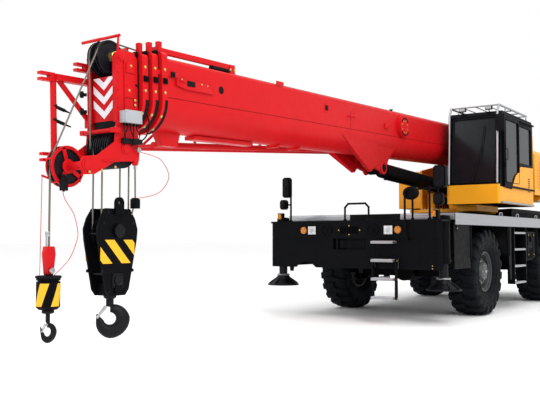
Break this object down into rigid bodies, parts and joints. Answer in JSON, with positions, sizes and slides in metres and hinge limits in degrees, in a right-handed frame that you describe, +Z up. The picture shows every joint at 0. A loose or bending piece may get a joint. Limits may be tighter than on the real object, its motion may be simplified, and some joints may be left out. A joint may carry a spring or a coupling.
{
  "type": "mobile crane",
  "caption": "Rough-terrain mobile crane with a telescopic boom over the front, a side cab, sliding outriggers, a hook block and a small hook.",
  "frame": {"origin": "on the ground under the middle of the bounding box", "axes": "+X forward along the boom, +Y to the crane's left, +Z up"},
  "size_m": [13.8168, 3.33, 3.787],
  "materials": {
    "black_paint": "satin",
    "aluminium_trim": "brushed",
    "lamp_lens": "gloss",
    "iron": "satin",
    "tyre_rubber": "matte",
    "rim_paint": "satin",
    "jack_steel": "satin",
    "yellow_paint": "gloss",
    "tinted_glass": "gloss",
    "cab_trim": "matte",
    "red_paint": "gloss",
    "rope_steel": "satin",
    "hook_steel": "satin"
  },
  "bodies": {
    "carrier": {"chassis_frame": "black_paint", "front_box": "black_paint", "rear_box": "black_paint", "main_deck": "black_paint", "deck_trim": "aluminium_trim", "rails_and_mirrors": "black_paint", "lamps": "lamp_lens", "engine_block": "iron", "engine_hood": "black_paint", "side_tanks": "black_paint", "driveline": "iron", "front_axle": "black_paint", "rear_axle": "black_paint"},
    "upper_works": {"turntable": "yellow_paint", "counterweight": "yellow_paint", "winches": "iron", "side_housing": "yellow_paint", "cab_shell": "black_paint", "cab_panels": "yellow_paint", "cab_glass": "tinted_glass", "cab_guard": "aluminium_trim", "cab_fittings": "cab_trim"},
    "cab_door": {"cab_door": "black_paint", "door_glass": "tinted_glass"},
    "boom": {"boom_base": "red_paint", "stowed_jib": "red_paint"},
    "section_1": {"tele_1": "red_paint"},
    "section_2": {"tele_2": "red_paint"},
    "section_3": {"tele_3": "red_paint", "boom_head": "red_paint", "jib_adapter": "red_paint", "head_sheaves": "iron"},
    "lift_barrel": {"lift_barrel": "black_paint"},
    "lift_rod": {"lift_rod": "jack_steel"},
    "main_block": {"hook_block": "black_paint", "main_falls": "rope_steel"},
    "main_hook": {"main_hook": "hook_steel"},
    "aux_weight": {"aux_weight": "black_paint"},
    "aux_hook": {"aux_hook": "hook_steel"},
    "knuckle_fl": {"knuckle_fl": "black_paint"},
    "wheel_fl": {"tyre_fl": "tyre_rubber", "rim_fl": "rim_paint"},
    "beam_fl": {"beam_fl": "black_paint"},
    "jack_fl": {"jack_fl": "jack_steel"},
    "knuckle_fr": {"knuckle_fr": "black_paint"},
    "wheel_fr": {"tyre_fr": "tyre_rubber", "rim_fr": "rim_paint"},
    "beam_fr": {"beam_fr": "black_paint"},
    "jack_fr": {"jack_fr": "jack_steel"},
    "knuckle_rl": {"knuckle_rl": "black_paint"},
    "wheel_rl": {"tyre_rl": "tyre_rubber", "rim_rl": "rim_paint"},
    "beam_rl": {"beam_rl": "black_paint"},
    "jack_rl": {"jack_rl": "jack_steel"},
    "knuckle_rr": {"knuckle_rr": "black_paint"},
    "wheel_rr": {"tyre_rr": "tyre_rubber", "rim_rr": "rim_paint"},
    "beam_rr": {"beam_rr": "black_paint"},
    "jack_rr": {"jack_rr": "jack_steel"}
  },
  "joints": [
    {"name": "slew", "type": "hinge", "parent": "carrier", "child": "upper_works", "pos_m": [-3.14844, 0, 1.83], "axis": [0, 0, 1], "continuous": true},
    {"name": "boom_luff", "type": "hinge", "parent": "upper_works", "child": "boom", "pos_m": [-4.24844, 0, 3.08], "axis": [0, -1, 0], "range_deg": [0, 80]},
    {"name": "tele_1", "type": "slide", "parent": "boom", "child": "section_1", "axis": [0.9994, 0, -0.0349], "range_m": [0, 7.2]},
    {"name": "tele_2", "type": "slide", "parent": "section_1", "child": "section_2", "axis": [0.9994, 0, -0.0349], "range_m": [0, 7.2]},
    {"name": "tele_3", "type": "slide", "parent": "section_2", "child": "section_3", "axis": [0.9994, 0, -0.0349], "range_m": [0, 7.2]},
    {"name": "lift_barrel_swing", "type": "hinge", "parent": "upper_works", "child": "lift_barrel", "pos_m": [-3.09844, 0, 2.35], "axis": [0, -1, 0], "range_deg": [-0.5, 85.72]},
    {"name": "lift_rod_slide", "type": "slide", "parent": "lift_barrel", "child": "lift_rod", "axis": [0.9989, 0, 0.0461], "range_m": [-0.005, 1.7174]},
    {"name": "main_hang", "type": "hinge", "parent": "section_3", "child": "main_block", "pos_m": [6.09856, 0.01, 2.24038], "axis": [0, -1, 0], "range_deg": [-80, 0]},
    {"name": "aux_hang", "type": "hinge", "parent": "section_3", "child": "aux_weight", "pos_m": [6.60844, -0.1, 2.02746], "axis": [0, -1, 0], "range_deg": [-80, 0]},
    {"name": "main_swivel", "type": "hinge", "parent": "main_block", "child": "main_hook", "pos_m": [6.09856, 0.01, 0.79], "axis": [0, 0, 1], "continuous": true},
    {"name": "aux_swivel", "type": "hinge", "parent": "aux_weight", "child": "aux_hook", "pos_m": [6.79344, -0.1, 0.66], "axis": [0, 0, 1], "continuous": true},
    {"name": "cab_door_slide", "type": "slide", "parent": "upper_works", "child": "cab_door", "axis": [-1, 0, 0], "range_m": [0, 0.8]},
    {"name": "steer_fl", "type": "hinge", "parent": "carrier", "child": "knuckle_fl", "pos_m": [-1.19844, 1, 0.745], "axis": [0, 0, 1], "range_deg": [-30, 30]},
    {"name": "wheel_fl", "type": "hinge", "parent": "knuckle_fl", "child": "wheel_fl", "pos_m": [-1.19844, 1.22, 0.745], "axis": [0, 1, 0], "continuous": true},
    {"name": "beam_fl", "type": "slide", "parent": "carrier", "child": "beam_fl", "axis": [0, 1, 0], "range_m": [0, 1.65]},
    {"name": "jack_fl", "type": "slide", "parent": "beam_fl", "child": "jack_fl", "axis": [0, 0, -1], "range_m": [0, 0.62]},
    {"name": "steer_fr", "type": "hinge", "parent": "carrier", "child": "knuckle_fr", "pos_m": [-1.19844, -1, 0.745], "axis": [0, 0, 1], "range_deg": [-30, 30]},
    {"name": "wheel_fr", "type": "hinge", "parent": "knuckle_fr", "child": "wheel_fr", "pos_m": [-1.19844, -1.22, 0.745], "axis": [0, 1, 0], "continuous": true},
    {"name": "beam_fr", "type": "slide", "parent": "carrier", "child": "beam_fr", "axis": [0, -1, 0], "range_m": [0, 1.65]},
    {"name": "jack_fr", "type": "slide", "parent": "beam_fr", "child": "jack_fr", "axis": [0, 0, -1], "range_m": [0, 0.62]},
    {"name": "steer_rl", "type": "hinge", "parent": "carrier", "child": "knuckle_rl", "pos_m": [-4.89844, 1, 0.745], "axis": [0, 0, 1], "range_deg": [-30, 30]},
    {"name": "wheel_rl", "type": "hinge", "parent": "knuckle_rl", "child": "wheel_rl", "pos_m": [-4.89844, 1.22, 0.745], "axis": [0, 1, 0], "continuous": true},
    {"name": "beam_rl", "type": "slide", "parent": "carrier", "child": "beam_rl", "axis": [0, 1, 0], "range_m": [0, 1.65]},
    {"name": "jack_rl", "type": "slide", "parent": "beam_rl", "child": "jack_rl", "axis": [0, 0, -1], "range_m": [0, 0.62]},
    {"name": "steer_rr", "type": "hinge", "parent": "carrier", "child": "knuckle_rr", "pos_m": [-4.89844, -1, 0.745], "axis": [0, 0, 1], "range_deg": [-30, 30]},
    {"name": "wheel_rr", "type": "hinge", "parent": "knuckle_rr", "child": "wheel_rr", "pos_m": [-4.89844, -1.22, 0.745], "axis": [0, 1, 0], "continuous": true},
    {"name": "beam_rr", "type": "slide", "parent": "carrier", "child": "beam_rr", "axis": [0, -1, 0], "range_m": [0, 1.65]},
    {"name": "jack_rr", "type": "slide", "parent": "beam_rr", "child": "jack_rr", "axis": [0, 0, -1], "range_m": [0, 0.62]}
  ],
  "couplings": [
    {"joint": "tele_2", "follows": "tele_1", "ratio": 1},
    {"joint": "tele_3", "follows": "tele_1", "ratio": 1},
    {"joint": "lift_barrel_swing", "follows": "boom_luff", "ratio": 1.0652},
    {"joint": "lift_rod_slide", "follows": "boom_luff", "m_per_rad": 1.2265},
    {"joint": "main_hang", "follows": "boom_luff", "ratio": -1},
    {"joint": "aux_hang", "follows": "boom_luff", "ratio": -1},
    {"joint": "steer_fr", "follows": "steer_fl", "ratio": 1},
    {"joint": "steer_rr", "follows": "steer_rl", "ratio": 1}
  ]
}
